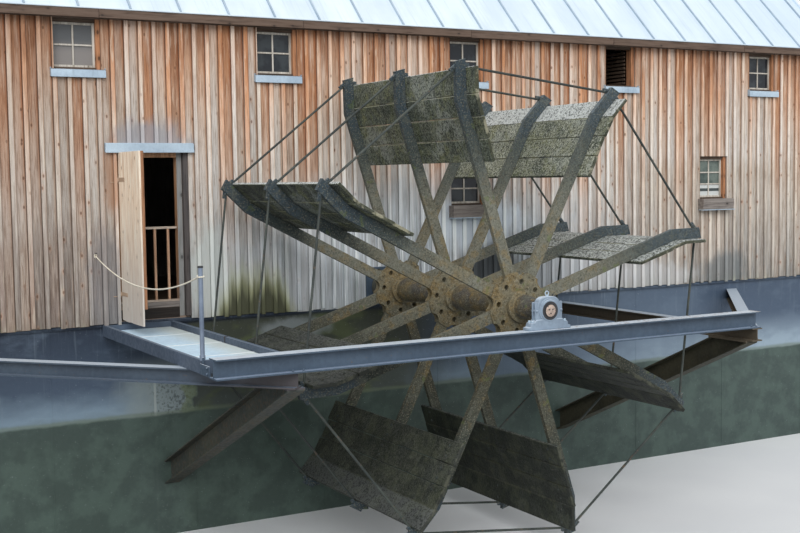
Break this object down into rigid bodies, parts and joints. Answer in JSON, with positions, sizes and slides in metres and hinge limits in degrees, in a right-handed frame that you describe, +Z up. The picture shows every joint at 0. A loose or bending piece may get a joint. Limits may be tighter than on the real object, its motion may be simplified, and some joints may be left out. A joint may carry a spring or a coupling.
{
  "type": "floating watermill",
  "caption": "Boarded mill house on a steel hull, with a large undershot paddle wheel carried between its wall and an outer steel beam, and a walkway to its door.",
  "frame": {"origin": "centre of the hull's flat bottom, under the middle of the house", "axes": "+X along the hull, +Y from the wheel side to the far side, +Z up"},
  "size_m": [19.26, 10.264, 10.016],
  "materials": {
    "hull_paint": "satin",
    "floor_timber": "matte",
    "weathered_boards": "matte",
    "roof_sheet": "satin",
    "fascia_timber": "matte",
    "frame_timber": "matte",
    "pale_timber": "matte",
    "galvanised_sheet": "matte",
    "grey_timber": "matte",
    "window_paint": "satin",
    "window_glass": "gloss",
    "deck_plate": "matte",
    "galvanised_post": "matte",
    "rope": "matte",
    "frame_steel": "satin",
    "bearing_paint": "satin",
    "rusty_steel": "matte",
    "mossy_steel": "matte",
    "mossy_planks": "matte"
  },
  "bodies": {
    "mill": {"hull_bottom": "hull_paint", "hull_side_near": "hull_paint", "hull_side_far": "hull_paint", "hull_end_left": "hull_paint", "hull_end_right": "hull_paint", "hull_deck": "hull_paint", "floor_boards": "floor_timber", "wall_front_left": "weathered_boards", "wall_over_door": "weathered_boards", "wall_front_mid": "weathered_boards", "wall_hatch_strip": "weathered_boards", "wall_front_right": "weathered_boards", "wall_back": "weathered_boards", "gable_left": "weathered_boards", "gable_right": "weathered_boards", "roof_near": "roof_sheet", "roof_far": "roof_sheet", "ridge_cap": "roof_sheet", "fascia_boards": "fascia_timber", "door_frame": "frame_timber", "door_pins": "frame_steel", "door_guard": "frame_timber", "door_flashing": "galvanised_sheet", "window_frames": "window_paint", "window_glass": "window_glass", "window_sills": "galvanised_sheet", "sill_blocks": "grey_timber", "walkway_frame": "frame_steel", "walkway_deck": "deck_plate", "walkway_post": "galvanised_post", "barrier_rope": "rope", "outer_beam": "frame_steel", "outrigger_left": "frame_steel", "outrigger_right": "frame_steel", "cross_beam": "frame_steel", "strut_left": "frame_steel", "strut_right": "frame_steel", "outer_bearing": "bearing_paint", "wall_bearing": "frame_steel"},
    "wheel": {"axle": "rusty_steel", "hub_near": "rusty_steel", "hub_mid": "rusty_steel", "hub_far": "rusty_steel", "arms_near": "mossy_steel", "arms_mid": "mossy_steel", "arms_far": "mossy_steel", "paddles": "mossy_planks", "tie_rods": "mossy_steel"},
    "door": {"door_leaf": "pale_timber"}
  },
  "joints": [
    {"name": "wheel_spin", "type": "hinge", "parent": "mill", "child": "wheel", "pos_m": [0, -4.95, 3.15], "axis": [0, 1, 0], "continuous": true},
    {"name": "door_swing", "type": "hinge", "parent": "mill", "child": "door", "pos_m": [-3.8445, -3.02, 4], "axis": [0, 0, 1], "range_deg": [-10, 90]}
  ]
}
